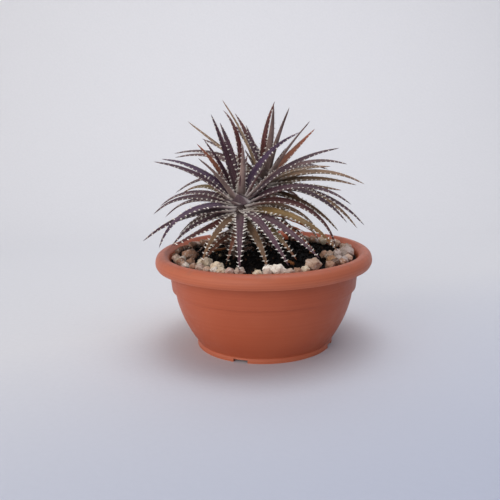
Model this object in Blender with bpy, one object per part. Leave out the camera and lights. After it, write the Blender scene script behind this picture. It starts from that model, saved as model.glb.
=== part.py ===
"""Potted dyckia: a two-headed clump in a moulded terracotta-coloured bowl, with soil and a ring of pebbles.

Metres, +Z up. The bowl stands on z = 0, and -Y is the side that faces the viewer.
Headings are degrees seen from above: 0 points right (+X), 90 points to the back (+Y).
"""

import math
import random

import bmesh
import bpy
from mathutils import Matrix, Vector

# The bowl's axis stands off the origin, so that the whole potted plant is centred on the origin.
# Every other place below is measured from the bowl's axis.
BOWL_X = 0.003
BOWL_Y = -0.0064

# Gap between pieces that touch, and how far a cutter runs past what it cuts.
GAP = 0.0003
CUT_PAST = 0.004

# Edges sharper than this, in degrees, are shaded as edges.
SHARP_EDGE = 35.0

# Bowl: turned. Its sides as radius and height, from the foot up to the crest, and back down the inside.
BOWL_SEGMENTS = 36
FLOOR_BOTTOM = 0.0045
FLOOR_TOP = 0.0069
FOOT_RING = ((0.0661, FLOOR_BOTTOM), (0.0661, 0.0), (0.0703, 0.0), (0.0703, 0.0028), (0.0691, 0.0044))
BOWL_SIDE = ((0.0739, 0.0116), (0.0793, 0.0210), (0.0847, 0.0327), (0.0893, 0.0470), (0.0914, 0.0593))
STEP_AND_NECK = ((0.0943, 0.0601), (0.0965, 0.0818), (0.0975, 0.0900))
LIP_HOLLOW = ((0.1010, 0.0932), (0.1050, 0.0917), (0.1070, 0.0878), (0.1064, 0.0831))
LIP_OUTSIDE = ((0.1084, 0.0831), (0.1098, 0.0858), (0.1100, 0.0890), (0.1087, 0.0933), (0.1058, 0.0959))
CREST = ((0.1030, 0.0966), (0.1010, 0.0965), (0.0995, 0.0955))
INSIDE = (
    (0.0965, 0.0925),
    (0.0950, 0.0890),
    (0.0941, 0.0818),
    (0.0919, 0.0618),
    (0.0890, 0.0593),
    (0.0869, 0.0474),
    (0.0824, 0.0335),
    (0.0771, 0.0219),
    (0.0718, 0.0127),
    (0.0680, FLOOR_TOP),
)

# Notches in the foot ring let the water out from under the bowl, and holes drain its floor.
NOTCH_WIDTH = 0.0145
NOTCH_HEIGHT = 0.0030
NOTCH_INNER = 0.0601
NOTCH_OUTER = 0.0761
NOTCH_HEADINGS = (-111.0, -21.0, 69.0, 159.0)
DRAIN_RADIUS = 0.0045
DRAIN_CIRCLE = 0.040
DRAIN_COUNT = 5
DRAIN_SIDES = 12

# Soil: height at the wall, rise towards the plant and fall from front to back.
SOIL_EDGE = 0.0888
SOIL_MOUND = 0.0050
MOUND_RADIUS = 0.060
SOIL_FALL = 0.016
SOIL_RINGS = (0.018, 0.037, 0.058, 0.076)
WALL_GAP = 0.0004

# Stems: place in the soil, foot and radius. Each head has a crown, where its live leaves meet, and a
# lower place on the stem where its old leaves meet.
FRONT_STEM = (-0.0275, -0.012)
FRONT_CROWN = (-0.022, -0.015, 0.151)
FRONT_LOWER = (-0.0254, -0.0131, 0.135)
REAR_STEM = (0.004, 0.033)
REAR_CROWN = (0.003, 0.030, 0.168)
REAR_LOWER = (0.0036, 0.0318, 0.141)
STEM_RADIUS = 0.0048
STEM_FOOT = 0.060
STEM_SIDES = 10
STEM_STRAIGHT = 0.096

# Stem and heart under the leaves: height from the crown and radius.
HEART = ((-0.040, 0.0056), (-0.022, 0.0088), (-0.007, 0.0096), (0.001, 0.0080), (0.005, 0.0042))
HEART_TOP = 0.0065

# Leaves leave the stem lower and further out the flatter they grow. One that hangs by HANGING degrees
# leaves it LEAF_DROP below the crown and a reach out from its middle.
HANGING = -30.0
LEAF_DROP = 0.020
LIVE_REACH = 0.0065
OLD_REACH = 0.0030
COURSE_STEPS = 24

# Leaves that point sideways roll until their upper faces lean towards the light, which comes from -Y.
LEAF_ROLL = 22.0
ROLL_START = 0.25

# Leaf outline: share of the full width at the root, and share of the length by which it is reached.
ROOT_WIDTH = 0.78
FULL_WIDTH_AT = 0.15
TAPER_START = 1.6
TAPER_END = 0.85

# Leaf section, as shares of its width, and the spines along both margins.
LEAF_KEEL = 0.24
LEAF_CHANNEL = 0.05
LEAF_THINNEST = 0.0010
SPINE_PITCH = 0.0155
SPINE_LENGTH = 0.0024
SPINE_HALF_BASE = 0.0011
SPINE_HOOK = 0.0005
SPINES_START = 0.09
SPINES_END = 0.96

# One row a leaf: heading, rise at the root, droop by the tip, in degrees; how late it bends (under 1 near
# the root, over 1 near the tip); length and greatest width.
FRONT_LEAVES = (
    # upright heart of the head
    (142, 76, 20, 1.3, 0.090, 0.0105),
    (112, 66, 20, 1.3, 0.088, 0.0120),
    (140, 99, 68, 2.0, 0.094, 0.0095),
    (160, 65, 12, 1.3, 0.068, 0.0085),
    (150, 56, 14, 1.3, 0.071, 0.0100),
    (-125, 45, 16, 1.3, 0.075, 0.0095),
    (-75, 76, 8, 1.3, 0.058, 0.0085),
    (-30, 47, 20, 1.3, 0.057, 0.0080),
    (25, 72, 54, 0.9, 0.094, 0.0110),
    (5, 43, 37, 1.3, 0.109, 0.0120),
    # spreading leaves on the left
    (163, 46, 44, 1.3, 0.091, 0.0110),
    (176, 41, 34, 1.3, 0.091, 0.0110),
    (142, 31, 70, 1.3, 0.083, 0.0105),
    (172, 18, 66, 1.6, 0.090, 0.0110),
    (150, 14, 60, 1.3, 0.096, 0.0100),
    (-165, 2, 42, 1.3, 0.098, 0.0115),
    (-160, 12, 84, 1.3, 0.095, 0.0110),
    (160, -7, 50, 1.3, 0.082, 0.0090),
    (150, -3, 50, 1.3, 0.081, 0.0090),
    (168, 6, 66, 1.3, 0.088, 0.0095),
    (158, 24, 66, 1.3, 0.092, 0.0095),
    (-172, -8, 44, 1.3, 0.074, 0.0095),
    (140, -2, 50, 1.3, 0.084, 0.0090),
    (-150, -17, 4, 1.0, 0.072, 0.0110),
    (-126, -13, 42, 1.0, 0.071, 0.0095),
    # leaves that hang over the stones in front
    (-91, -8, 54, 1.3, 0.088, 0.0102),
    (-65, -24, 28, 1.0, 0.069, 0.0102),
    (-59, 0, 43, 0.5, 0.090, 0.0110),
    (-46, -8, 40, 0.8, 0.080, 0.0100),
    (-38, -1, 38, 0.6, 0.096, 0.0120),
    # spreading leaves on the right
    (-24, 2, 55, 1.3, 0.106, 0.0125),
    (-10, 18, 96, 1.2, 0.112, 0.0115),
    (-5, 29, 72, 1.3, 0.112, 0.0115),
    (0, 4, 70, 1.2, 0.090, 0.0105),
    (6, 10, 74, 1.2, 0.088, 0.0100),
    (-14, -8, 44, 1.0, 0.080, 0.0100),
    # short leaves between the two heads
    (75, 62, 10, 1.3, 0.050, 0.0080),
    (120, 8, 50, 1.3, 0.072, 0.0095),
    # withered leaves under the head
    (-5, -16, 4, 1.0, 0.062, 0.0060),
    (15, -8, 30, 1.3, 0.078, 0.0060),
    (-108, -30, 30, 1.0, 0.052, 0.0065),
)
FRONT_OLD_LEAVES = (
    (20, -20, 24, 1.0, 0.044, 0.0080),
    (100, -14, 34, 1.0, 0.056, 0.0085),
    (128, -22, 24, 1.0, 0.052, 0.0080),
    (156, -16, 34, 1.0, 0.056, 0.0085),
    (-178, -22, 22, 1.0, 0.040, 0.0080),
    (-146, -20, 28, 1.0, 0.048, 0.0080),
)

REAR_LEAVES = (
    # upright heart of the head
    (-160, 70, 18, 1.3, 0.090, 0.0105),
    (120, 57, 16, 1.3, 0.086, 0.0100),
    (135, 67, 40, 1.3, 0.076, 0.0095),
    (120, 64, 16, 1.3, 0.063, 0.0095),
    (-50, 68, 14, 1.3, 0.080, 0.0105),
    (-71, 68, 2, 1.3, 0.080, 0.0100),
    (30, 98, 38, 1.0, 0.080, 0.0100),
    (25, 42, 5, 1.3, 0.076, 0.0110),
    (-35, 53, 12, 1.3, 0.078, 0.0100),
    # spreading leaves on the left
    (-165, 40, 2, 1.3, 0.096, 0.0105),
    (154, 40, 22, 1.3, 0.081, 0.0100),
    (160, 37, 52, 1.3, 0.106, 0.0110),
    (168, 36, 52, 1.3, 0.099, 0.0105),
    (170, 17, 57, 1.3, 0.097, 0.0105),
    # spreading leaves on the right
    (5, 0, 14, 1.3, 0.078, 0.0110),
    (-10, 11, 30, 1.3, 0.092, 0.0110),
    (-8, 20, 52, 1.3, 0.103, 0.0115),
    (5, 31, 52, 1.3, 0.089, 0.0105),
    (-38, 24, 26, 1.3, 0.078, 0.0105),
    (-12, -14, 40, 1.3, 0.086, 0.0100),
    (-15, -1, 51, 1.4, 0.111, 0.0105),
    (-22, 0, 55, 1.3, 0.107, 0.0105),
    (-30, 2, 55, 1.3, 0.098, 0.0100),
    # back of the head, which the photographed side hides
    (80, 55, 44, 1.3, 0.078, 0.0105),
    (100, 46, 46, 1.3, 0.080, 0.0110),
    (32, 26, 52, 1.3, 0.084, 0.0110),
    (62, 22, 54, 1.3, 0.094, 0.0110),
    (92, 18, 54, 1.3, 0.092, 0.0110),
    (126, 22, 56, 1.3, 0.092, 0.0110),
    (18, 2, 40, 1.3, 0.070, 0.0105),
    (48, -4, 54, 1.3, 0.080, 0.0105),
    (78, -6, 54, 1.3, 0.078, 0.0105),
    (108, -4, 54, 1.3, 0.078, 0.0105),
    (140, -4, 56, 1.3, 0.080, 0.0105),
    (60, -30, 34, 1.3, 0.066, 0.0095),
    (100, -30, 34, 1.3, 0.066, 0.0095),
)
REAR_OLD_LEAVES = (
    (-12, -24, 24, 1.0, 0.052, 0.0080),
    (18, -18, 32, 1.0, 0.058, 0.0085),
    (46, -26, 22, 1.0, 0.052, 0.0080),
    (76, -20, 34, 1.0, 0.056, 0.0085),
    (104, -28, 26, 1.0, 0.050, 0.0080),
    (134, -18, 34, 1.0, 0.058, 0.0085),
    (164, -25, 24, 1.0, 0.052, 0.0080),
)


# Pebbles lie in arcs along the bowl's wall, each with its outer face about PEBBLE_REACH from the axis. One
# row an arc: name, first heading, the lengths of its pebbles one after another, and further pebbles inside
# the arc, as heading, distance from the axis and length. Neighbours touch.
PEBBLE_REACH = 0.0940
PEBBLE_OVERLAP = 0.74
PEBBLE_SIDES = 12
PEBBLE_TALLEST = 0.0112
PEBBLE_HEIGHT = 0.72
PEBBLE_WIDTHS = (0.82, 0.95)
PEBBLE_MEAN_WIDTH = 0.89
PEBBLE_SPREADS = (0.92, 1.10)
PEBBLE_STRAY = 0.0008
PEBBLE_TURN = 137.5
PEBBLE_TWIST = 11.5
PEBBLE_ARCS = (
    (
        "pebbles_left",
        -177.0,
        (0.010, 0.010, 0.0115, 0.010, 0.012, 0.010, 0.010),
        ((-166.0, 0.0830, 0.010), (-169.0, 0.0750, 0.018), (-151.5, 0.0820, 0.011)),
    ),
    (
        "pebbles_front_left",
        -138.5,
        (0.012, 0.0125, 0.011, 0.011, 0.011, 0.012, 0.013),
        ((-136.0, 0.0790, 0.016), (-123.0, 0.0822, 0.014)),
    ),
    ("pebbles_front", -94.4, (0.0105, 0.0115, 0.016, 0.011, 0.0105, 0.0115, 0.019), ((-88.0, 0.0820, 0.012),)),
    (
        "pebbles_front_right",
        -47.0,
        (0.012, 0.013, 0.011, 0.012, 0.012),
        ((-38.0, 0.0815, 0.013), (-27.5, 0.0820, 0.010)),
    ),
    (
        "pebbles_right",
        -13.0,
        (0.019, 0.012, 0.011, 0.014, 0.011, 0.010),
        ((-15.3, 0.0757, 0.012), (-19.5, 0.0690, 0.011), (-15.7, 0.0628, 0.011), (1.0, 0.0825, 0.010)),
    ),
    ("pebbles_back_right", 26.0, (0.013, 0.012, 0.014, 0.011, 0.012, 0.011, 0.013, 0.011), ()),
    ("pebbles_back", 77.0, (0.012, 0.014, 0.011, 0.013, 0.011, 0.012, 0.011, 0.011), ()),
    ("pebbles_back_left", 127.0, (0.013, 0.011, 0.012, 0.011, 0.013, 0.011, 0.012, 0.012, 0.011), ()),
)

# Bark chips on the soil: heading, distance from the axis, turn, length, width.
CHIPS = (
    (146.0, 0.056, 20.0, 0.013, 0.005),
    (-60.0, 0.050, -50.0, 0.010, 0.004),
    (8.0, 0.052, 75.0, 0.012, 0.005),
)
CHIP_THICKNESS = 0.0022
CHIP_TAPER = 0.55


def polar(heading, radius):
    """X and Y of a place given by its heading and its distance from the bowl's axis."""
    turn = math.radians(heading)
    return radius * math.cos(turn), radius * math.sin(turn)


def soil_top(x, y):
    """Height of the soil's surface."""
    mound = max(0.0, 1.0 - (math.hypot(x, y) / MOUND_RADIUS) ** 2)
    return SOIL_EDGE + SOIL_MOUND * mound - SOIL_FALL * y


def leaf_course(crown, reach, heading, rise, droop, bend, length):
    """Points along a leaf's centre line from its root to its tip, and the slope at each."""
    turn = math.radians(heading)
    flatness = max(0.0, (80.0 - rise) / (80.0 - HANGING))
    x = crown[0] + reach * flatness**0.5 * math.cos(turn)
    y = crown[1] + reach * flatness**0.5 * math.sin(turn)
    z = crown[2] - LEAF_DROP * flatness**2.5
    course = [(x, y, z)]
    slopes = [math.radians(rise)]
    for step in range(COURSE_STEPS):
        middle = (step + 0.5) / COURSE_STEPS
        slope = math.radians(rise - droop * middle**bend)
        x += length / COURSE_STEPS * math.cos(slope) * math.cos(turn)
        y += length / COURSE_STEPS * math.cos(slope) * math.sin(turn)
        z += length / COURSE_STEPS * math.sin(slope)
        course.append((x, y, z))
        slopes.append(math.radians(rise - droop * ((step + 1) / COURSE_STEPS) ** bend))
    return course, slopes


def frame_at(course, slopes, heading, along):
    """Place, side direction and upward normal of a leaf at a share of its length."""
    at = min(along * COURSE_STEPS, COURSE_STEPS - 1e-6)
    first = int(at)
    share = at - first
    place = Vector(course[first]).lerp(Vector(course[first + 1]), share)
    slope = slopes[first] + (slopes[first + 1] - slopes[first]) * share
    turn = math.radians(heading)
    side = Vector((-math.sin(turn), math.cos(turn), 0.0))
    normal = Vector((-math.sin(slope) * math.cos(turn), -math.sin(slope) * math.sin(turn), math.cos(slope)))
    roll = math.radians(LEAF_ROLL) * math.cos(turn) * min(1.0, along / ROLL_START)
    rolled_side = side * math.cos(roll) + normal * math.sin(roll)
    rolled_normal = normal * math.cos(roll) - side * math.sin(roll)
    return place, rolled_side, rolled_normal


def half_width(along, width):
    """Half the leaf's width: nearly even at first, then running out to a point."""
    base = ROOT_WIDTH + (1.0 - ROOT_WIDTH) * min(1.0, along / FULL_WIDTH_AT)
    return width / 2 * base * (1.0 - along**TAPER_START) ** TAPER_END


def leaf_mesh(crown, reach, row):
    """One leaf as a closed blade: channelled above, keeled below, with a pair of spines at each station."""
    heading, rise, droop, bend, length, width = row
    course, slopes = leaf_course(crown, reach, heading, rise, droop, bend, length)
    mesh = bmesh.new()

    def vertex(along, sideways, up):
        place, side, normal = frame_at(course, slopes, heading, along)
        return mesh.verts.new(place + side * sideways + normal * up)

    def middle_pair(along):
        wide = 2 * half_width(along, width)
        channel = LEAF_CHANNEL * wide
        keel = channel + LEAF_THINNEST + LEAF_KEEL * wide * (1.0 - along)
        return vertex(along, 0.0, -channel), vertex(along, 0.0, -keel)

    tip = mesh.verts.new(Vector(course[-1]))
    half_base = SPINE_HALF_BASE / length
    root = middle_pair(0.0)
    edges = {sign: vertex(0.0, sign * half_width(0.0, width), 0.0) for sign in (-1, 1)}
    mesh.faces.new((root[0], edges[1], root[1], edges[-1]))
    spined = SPINES_END - SPINES_START
    pairs = max(3, round(spined * length / SPINE_PITCH))
    middles = root
    for pair in range(pairs):
        along = SPINES_START + spined * (pair + 0.5) / pairs
        after = middle_pair(along + SPINE_HOOK / length)
        spine_tip = half_width(along, width) + SPINE_LENGTH * (1.0 - 0.5 * along)
        for sign in (-1, 1):
            margin = [
                edges[sign],
                vertex(along - half_base, sign * half_width(along - half_base, width), 0.0),
                vertex(along - SPINE_HOOK / length, sign * spine_tip, 0.0),
                vertex(along + half_base, sign * half_width(along + half_base, width), 0.0),
            ]
            for before, centre in zip(middles, after):
                mesh.faces.new((before, margin[0], centre))
                for first, second in zip(margin, margin[1:]):
                    mesh.faces.new((centre, first, second))
            edges[sign] = margin[-1]
        middles = after
    for sign in (-1, 1):
        for centre in middles:
            mesh.faces.new((centre, edges[sign], tip))
    return mesh


def material(name, colour, roughness):
    """A plain surface: linear colour and roughness."""
    made = bpy.data.materials.new(name)
    made.use_nodes = True
    shader = made.node_tree.nodes["Principled BSDF"]
    shader.inputs["Base Color"].default_value = (*colour, 1.0)
    shader.inputs["Roughness"].default_value = roughness
    shader.inputs["Metallic"].default_value = 0.0
    return made


def add_object(name, mesh, collection=None):
    """An object from a bmesh, with its faces turned outwards."""
    bmesh.ops.recalc_face_normals(mesh, faces=mesh.faces)
    data = bpy.data.meshes.new(name)
    mesh.to_mesh(data)
    mesh.free()
    made = bpy.data.objects.new(name, data)
    (collection or bpy.context.scene.collection).objects.link(made)
    return made


def ring(mesh, radius, height, sides, centre=(0.0, 0.0)):
    """A level ring of vertices. The height may be a function of X and Y."""
    made = []
    for side in range(sides):
        turn = 2 * math.pi * side / sides
        x = centre[0] + radius * math.cos(turn)
        y = centre[1] + radius * math.sin(turn)
        made.append(mesh.verts.new((x, y, height(x, y) if callable(height) else height)))
    return made


def bridge(mesh, first, second):
    """Quads between two rings."""
    for a, b in zip(range(-1, len(first) - 1), range(len(first))):
        mesh.faces.new((first[a], first[b], second[b], second[a]))


def turned(profile, sides):
    """A closed solid turned round the Z axis. The profile's two ends close on the axis."""
    mesh = bmesh.new()
    rings = [ring(mesh, radius, height, sides) for radius, height in profile]
    for first, second in zip(rings, rings[1:]):
        bridge(mesh, first, second)
    mesh.faces.new(rings[0])
    mesh.faces.new(rings[-1])
    return mesh


def apply_modifiers(owner):
    """Replaces an object's mesh with its evaluated one."""
    graph = bpy.context.evaluated_depsgraph_get()
    data = bpy.data.meshes.new_from_object(owner.evaluated_get(graph))
    owner.modifiers.clear()
    owner.data = data


def combine(owner, others, operation, solver="EXACT"):
    """One Boolean of an object with a list of objects, which are then removed."""
    tools = bpy.data.collections.new(owner.name + " tools")
    bpy.context.scene.collection.children.link(tools)
    for other in others:
        for used in other.users_collection:
            used.objects.unlink(other)
        tools.objects.link(other)
    boolean = owner.modifiers.new("combine", "BOOLEAN")
    boolean.operand_type = "COLLECTION"
    boolean.collection = tools
    boolean.operation = operation
    boolean.solver = solver
    apply_modifiers(owner)
    for other in others:
        bpy.data.objects.remove(other)
    bpy.data.collections.remove(tools)


def keep_outer_skin(owner):
    """Fills the hollows that fused leaves seal between them: only the largest connected skin stays."""
    mesh = bmesh.new()
    mesh.from_mesh(owner.data)
    waiting = set(mesh.faces)
    skins = []
    while waiting:
        skin = {waiting.pop()}
        front = list(skin)
        while front:
            beside = {near for face in front for edge in face.edges for near in edge.link_faces}
            front = list(beside & waiting)
            waiting -= beside
            skin |= beside
        skins.append(skin)
    skins.sort(key=len)
    sealed = [face for skin in skins[:-1] for face in skin]
    bmesh.ops.delete(mesh, geom=sealed, context="FACES")
    mesh.to_mesh(owner.data)
    mesh.free()


def prism(name, radius, bottom, top, sides, centre):
    """A straight prism, used as a cutter."""
    mesh = bmesh.new()
    low = ring(mesh, radius, bottom, sides, centre)
    high = ring(mesh, radius, top, sides, centre)
    bridge(mesh, low, high)
    mesh.faces.new(low)
    mesh.faces.new(high)
    return add_object(name, mesh)


def add_bowl():
    """The bowl: one moulding with notches in its foot ring and drain holes in its floor."""
    profile = FOOT_RING + BOWL_SIDE + STEP_AND_NECK + LIP_HOLLOW + LIP_OUTSIDE + CREST + INSIDE
    bowl = add_object("bowl", turned(profile, BOWL_SEGMENTS))
    cutters = []
    for heading in NOTCH_HEADINGS:
        cutter = bmesh.new()
        bmesh.ops.create_cube(cutter, size=1.0)
        size = (NOTCH_OUTER - NOTCH_INNER, NOTCH_WIDTH, 2 * NOTCH_HEIGHT)
        middle = (NOTCH_OUTER + NOTCH_INNER) / 2
        bmesh.ops.scale(cutter, vec=size, verts=cutter.verts)
        bmesh.ops.translate(cutter, vec=(middle, 0.0, 0.0), verts=cutter.verts)
        spin = Matrix.Rotation(math.radians(heading), 3, "Z")
        bmesh.ops.rotate(cutter, cent=(0.0, 0.0, 0.0), matrix=spin, verts=cutter.verts)
        cutters.append(add_object("notch cutter", cutter))
    for hole in range(DRAIN_COUNT):
        place = polar(90.0 + 360.0 * hole / DRAIN_COUNT, DRAIN_CIRCLE)
        bottom = FLOOR_BOTTOM - CUT_PAST
        top = FLOOR_TOP + CUT_PAST
        cutters.append(prism("drain cutter", DRAIN_RADIUS, bottom, top, DRAIN_SIDES, place))
    combine(bowl, cutters, "DIFFERENCE")
    return bowl


def wall_inside(height):
    """Radius of the bowl's inner wall at a height."""
    for (high_radius, high), (low_radius, low) in zip(INSIDE, INSIDE[1:]):
        if low <= height <= high:
            return low_radius + (high_radius - low_radius) * (height - low) / (high - low)
    return INSIDE[-1][0]


def add_soil():
    """The soil: it fills the bowl up to a low mound, with a plain hole for each stem."""
    mesh = bmesh.new()
    rings = [ring(mesh, radius, soil_top, BOWL_SEGMENTS) for radius in SOIL_RINGS]
    rings.append(ring(mesh, wall_inside(SOIL_EDGE) - 2 * GAP, soil_top, BOWL_SEGMENTS))
    for radius, height in INSIDE[2:]:
        rings.append(ring(mesh, radius - WALL_GAP, max(height, FLOOR_TOP + GAP), BOWL_SEGMENTS))
    for first, second in zip(rings, rings[1:]):
        bridge(mesh, first, second)
    crest = mesh.verts.new((0.0, 0.0, soil_top(0.0, 0.0)))
    for a, b in zip(rings[0], rings[0][1:] + rings[0][:1]):
        mesh.faces.new((a, b, crest))
    mesh.faces.new(rings[-1])
    soil = add_object("soil", mesh)
    holes = [
        prism("stem hole", STEM_RADIUS + WALL_GAP, STEM_FOOT - GAP, STEM_STRAIGHT, STEM_SIDES, place)
        for place in (FRONT_STEM, REAR_STEM)
    ]
    combine(soil, holes, "DIFFERENCE")
    return soil


def stem_mesh(stem, crown):
    """A head's stem, straight in the soil and then leaning to its crown, where it thickens to a heart."""
    mesh = bmesh.new()
    sections = [(STEM_FOOT, STEM_RADIUS), (STEM_STRAIGHT, STEM_RADIUS)]
    sections += [(crown[2] + rise, radius) for rise, radius in HEART]
    rings = []
    for height, radius in sections:
        lean = max(0.0, min(1.0, (height - STEM_STRAIGHT) / (crown[2] - STEM_STRAIGHT)))
        centre = (stem[0] + (crown[0] - stem[0]) * lean, stem[1] + (crown[1] - stem[1]) * lean)
        rings.append(ring(mesh, radius, height, STEM_SIDES, centre))
    for first, second in zip(rings, rings[1:]):
        bridge(mesh, first, second)
    mesh.faces.new(rings[0])
    crest = mesh.verts.new((crown[0], crown[1], crown[2] + HEART_TOP))
    for a, b in zip(rings[-1], rings[-1][1:] + rings[-1][:1]):
        mesh.faces.new((a, b, crest))
    return mesh


def add_head(name, stem, crown, live_rows, lower, old_rows):
    """One head of the plant: stem, heart and all its leaves, grown together as one body."""
    head = add_object(name, stem_mesh(stem, crown))
    leaves = [add_object("leaf", leaf_mesh(crown, LIVE_REACH, row)) for row in live_rows]
    leaves += [add_object("leaf", leaf_mesh(lower, OLD_REACH, row)) for row in old_rows]
    combine(head, leaves, "UNION")
    keep_outer_skin(head)
    return head


def add_pebble(name, place, heading, size, rng):
    """One angular pebble: the hull of a few points on a flattened ball."""
    mesh = bmesh.new()
    height = min(PEBBLE_HEIGHT * size, PEBBLE_TALLEST)
    width = size * rng.uniform(*PEBBLE_WIDTHS)
    seat = soil_top(*place) + 2 * GAP
    turn = math.radians(heading + 90.0)
    for point in range(PEBBLE_SIDES):
        level = 1.0 - 2.0 * (point + 0.5) / PEBBLE_SIDES
        around = math.radians(point * PEBBLE_TURN + rng.uniform(-PEBBLE_TWIST, PEBBLE_TWIST))
        spread = math.sqrt(1.0 - level * level) * rng.uniform(*PEBBLE_SPREADS)
        along = size / 2 * spread * math.cos(around)
        across = width / 2 * spread * math.sin(around)
        x = place[0] + along * math.cos(turn) - across * math.sin(turn)
        y = place[1] + along * math.sin(turn) + across * math.cos(turn)
        mesh.verts.new((x, y, seat + height / 2 * (1.0 + level)))
    bmesh.ops.convex_hull(mesh, input=mesh.verts)
    return add_object(name, mesh)


def add_pebbles(name, first_heading, sizes, inner, rng):
    """An arc of pebbles, each touching the next, and the ones that lean on it from inside."""
    distances = [PEBBLE_REACH - PEBBLE_MEAN_WIDTH * size / 2 for size in sizes]
    headings = [first_heading]
    for (before, nearer), (size, further) in zip(zip(sizes, distances), zip(sizes[1:], distances[1:])):
        apart = math.sqrt((PEBBLE_OVERLAP * (before + size) / 2) ** 2 - (further - nearer) ** 2)
        headings.append(headings[-1] + math.degrees(apart * 2 / (nearer + further)))
    pebbles = []
    for heading, distance, size in zip(headings, distances, sizes):
        place = polar(heading, distance + rng.uniform(-PEBBLE_STRAY, PEBBLE_STRAY))
        pebbles.append(add_pebble(name, place, heading, size, rng))
    for heading, distance, size in inner:
        pebbles.append(add_pebble(name, polar(heading, distance), heading, size, rng))
    first = pebbles.pop(0)
    combine(first, pebbles, "UNION")
    first.name = name
    return first


def add_chip(number, heading, distance, turn, length, width):
    """A bark chip that lies on the soil."""
    mesh = bmesh.new()
    bmesh.ops.create_cube(mesh, size=1.0)
    bmesh.ops.scale(mesh, vec=(length, width, CHIP_THICKNESS), verts=mesh.verts)
    for corner in mesh.verts:
        if corner.co.x > 0:
            corner.co.y *= CHIP_TAPER
    x, y = polar(heading, distance)
    spin = Matrix.Rotation(math.radians(turn), 3, "Z")
    bmesh.ops.rotate(mesh, cent=(0.0, 0.0, 0.0), matrix=spin, verts=mesh.verts)
    highest = max(soil_top(x + corner.co.x, y + corner.co.y) for corner in mesh.verts)
    lift = highest + GAP + CHIP_THICKNESS / 2
    bmesh.ops.translate(mesh, vec=(x, y, lift), verts=mesh.verts)
    return add_object(f"bark_chip_{number}", mesh)


def main():
    for old in list(bpy.data.objects):
        bpy.data.objects.remove(old)
    rng = random.Random(7)
    plastic = material("terracotta plastic", (0.42, 0.12, 0.075), 0.45)
    earth = material("potting soil", (0.018, 0.013, 0.011), 0.95)
    stone = material("pebble", (0.52, 0.44, 0.33), 0.8)
    leaf = material("dyckia leaf", (0.085, 0.055, 0.07), 0.6)
    bark = material("bark", (0.38, 0.17, 0.07), 0.85)

    pieces = [(add_bowl(), plastic), (add_soil(), earth)]
    front = (FRONT_STEM, FRONT_CROWN, FRONT_LEAVES, FRONT_LOWER, FRONT_OLD_LEAVES)
    rear = (REAR_STEM, REAR_CROWN, REAR_LEAVES, REAR_LOWER, REAR_OLD_LEAVES)
    pieces.append((add_head("front_head", *front), leaf))
    pieces.append((add_head("rear_head", *rear), leaf))
    pieces += [(add_pebbles(*arc, rng), stone) for arc in PEBBLE_ARCS]
    pieces += [(add_chip(number, *chip), bark) for number, chip in enumerate(CHIPS, 1)]

    centre = bpy.data.objects.new("potted_dyckia", None)
    bpy.context.scene.collection.objects.link(centre)
    centre.location = (BOWL_X, BOWL_Y, 0.0)
    for made, surface in pieces:
        made.data.materials.clear()
        made.data.materials.append(surface)
        made.parent = centre
        made.data.shade_smooth()
        made.data.set_sharp_from_angle(angle=math.radians(SHARP_EDGE))


main()
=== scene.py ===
"""Looks of the potted dyckia: a clump of two spiny heads in a terracotta-coloured bowl with pebbles.

Metres, +Z up, and -Y faces the viewer. Places are worked out from the bowl's axis, which stands at BOWL_X,
BOWL_Y. Headings are degrees seen from above: 0 points right, 90 to the back.
"""

import math
import random

import bpy
import numpy as np
from mathutils import Matrix, Vector


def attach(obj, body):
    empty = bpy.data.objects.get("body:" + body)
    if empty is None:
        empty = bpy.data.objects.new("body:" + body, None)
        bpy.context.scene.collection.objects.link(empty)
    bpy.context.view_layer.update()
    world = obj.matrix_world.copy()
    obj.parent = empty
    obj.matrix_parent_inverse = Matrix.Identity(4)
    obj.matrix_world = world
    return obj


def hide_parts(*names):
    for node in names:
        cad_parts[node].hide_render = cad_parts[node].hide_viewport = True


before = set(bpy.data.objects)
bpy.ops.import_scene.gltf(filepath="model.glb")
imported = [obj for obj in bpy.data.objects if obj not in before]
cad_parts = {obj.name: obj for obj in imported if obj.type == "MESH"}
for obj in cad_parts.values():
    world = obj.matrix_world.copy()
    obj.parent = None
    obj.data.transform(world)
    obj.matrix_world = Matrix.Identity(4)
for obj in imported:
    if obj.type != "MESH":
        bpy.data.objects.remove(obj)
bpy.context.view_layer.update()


# The bowl: a shallow planter with a rolled rim, a step under its neck, and a foot ring with four notches.
# It is injection-moulded polypropylene, coloured through like terracotta. The turned and polished mould
# leaves a satin skin with very fine lines round the axis.
BOWL_X = 0.003
BOWL_Y = -0.0064
BOWL_SEGMENTS = 160
FLOOR_TOP = 0.0069
# Runs of the profile as radius and height. Each run is one smooth curve, and they meet at corners.
BOWL_RUNS = (
    ((0.0661, 0.0045), (0.0661, 0.0)),
    ((0.0703, 0.0), (0.0703, 0.0028)),
    (
        (0.0691, 0.0044), (0.0739, 0.0116), (0.0793, 0.0210), (0.0847, 0.0327), (0.0893, 0.0470),
        (0.0914, 0.0593),
    ),
    ((0.0943, 0.0601), (0.0965, 0.0818), (0.0975, 0.0900)),
    ((0.1010, 0.0932), (0.1050, 0.0917), (0.1070, 0.0878), (0.1064, 0.0831)),
    (
        (0.1084, 0.0831), (0.1098, 0.0858), (0.1100, 0.0890), (0.1087, 0.0933), (0.1058, 0.0959),
        (0.1030, 0.0966), (0.1010, 0.0965), (0.0995, 0.0955), (0.0965, 0.0925), (0.0950, 0.0890),
    ),
    ((0.0941, 0.0818), (0.0919, 0.0618)),
    (
        (0.0890, 0.0593), (0.0869, 0.0474), (0.0824, 0.0335), (0.0771, 0.0219), (0.0718, 0.0127),
        (0.0680, 0.0069),
    ),
)
CURVE_STEPS = 4
CORNER_ROUNDING = 0.0005
CORNER_ANGLE = 32.0
SMOOTH_ANGLE = 40.0
NOTCH_SIZE = (0.016, 0.0145, 0.0060)
NOTCH_MIDDLE = 0.0681
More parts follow.
